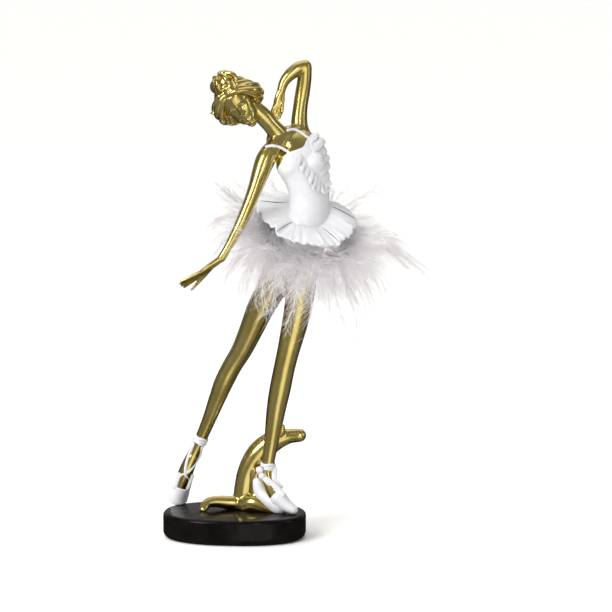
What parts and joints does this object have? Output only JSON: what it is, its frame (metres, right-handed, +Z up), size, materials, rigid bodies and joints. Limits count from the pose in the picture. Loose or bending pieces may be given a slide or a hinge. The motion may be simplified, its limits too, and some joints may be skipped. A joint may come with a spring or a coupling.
{
  "type": "ballerina figurine",
  "caption": "Cast ballerina figurine leaning against a curled branch on an oval plinth, one arm raised over the head, with a feather skirt under a pleated peplum.",
  "frame": {"origin": "middle of the plinth's flat underside", "axes": "+Z up, +X along the plinth to the right as the figure is viewed from the front, the figure is viewed along +Y"},
  "size_m": [0.1574, 0.1065, 0.2954],
  "materials": {
    "black_lacquer": "glossy black paint on cast resin",
    "gold_paint": "metallic gold paint on cast resin",
    "white_paint": "satin white paint on cast resin",
    "feather": "soft white down feathers"
  },
  "bodies": {
    "root": {"plinth": "black_lacquer", "ballerina": "gold_paint", "feather_skirt": "feather"}
  },
  "joints": []
}
